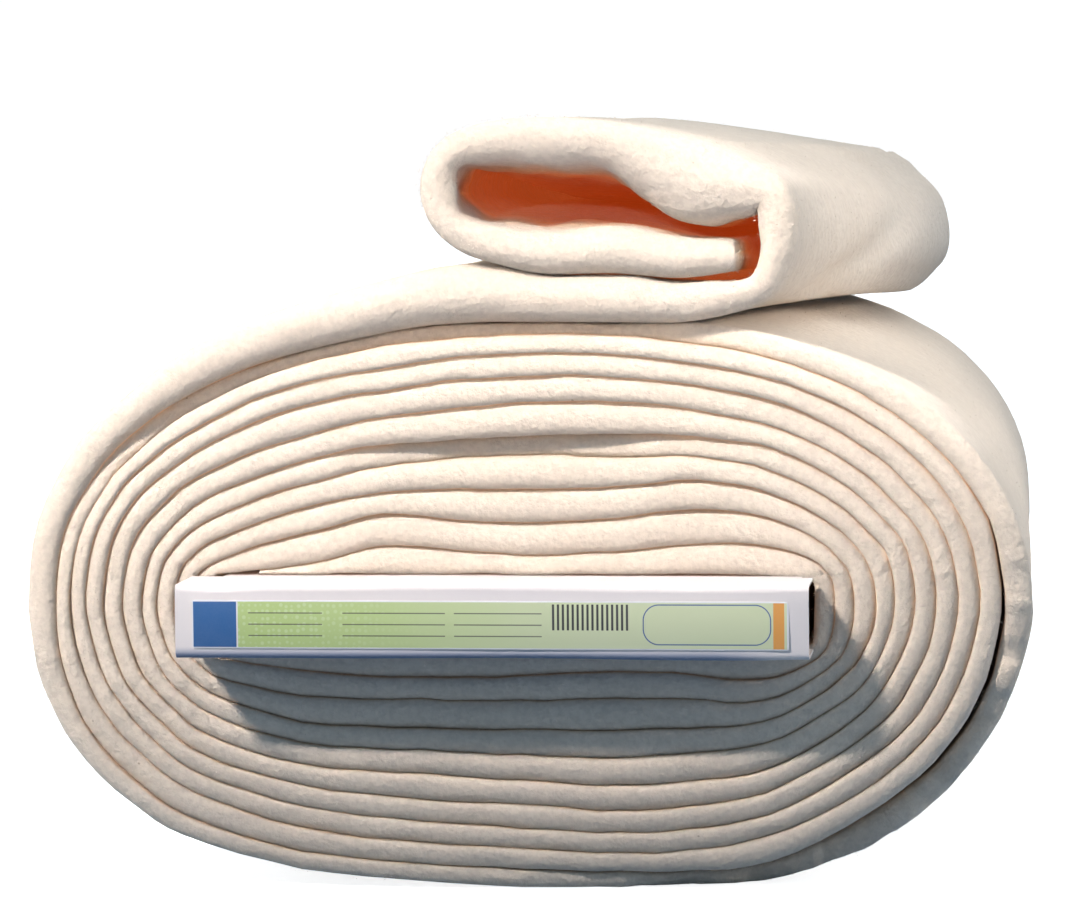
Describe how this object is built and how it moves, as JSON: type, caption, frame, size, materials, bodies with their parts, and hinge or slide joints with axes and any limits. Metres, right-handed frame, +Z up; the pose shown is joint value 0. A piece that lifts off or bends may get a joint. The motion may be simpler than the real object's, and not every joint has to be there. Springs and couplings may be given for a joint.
{
  "type": "roll of quilt batting",
  "caption": "Long soft cotton batting wound in a flat oval round a board, with a folded card cap on one end and its loose end lying over the top.",
  "frame": {"origin": "middle of the flat spot under the roll, on the surface it rests on, half way along its length", "axes": "+Z up, +Y along the roll from the capped end to the plain end, +X to the right as seen from the capped end"},
  "size_m": [0.3989, 0.6551, 0.314],
  "materials": {
    "batting": "matt natural cotton felt with faint flecks",
    "core_board": "rough brown corrugated board",
    "card": "smooth white card",
    "label": "satin printed paper sticker"
  },
  "bodies": {
    "root": {"batting_roll": "batting", "loose_end": "batting", "core_board": "core_board", "end_cap": "card", "label": "label"}
  },
  "joints": []
}
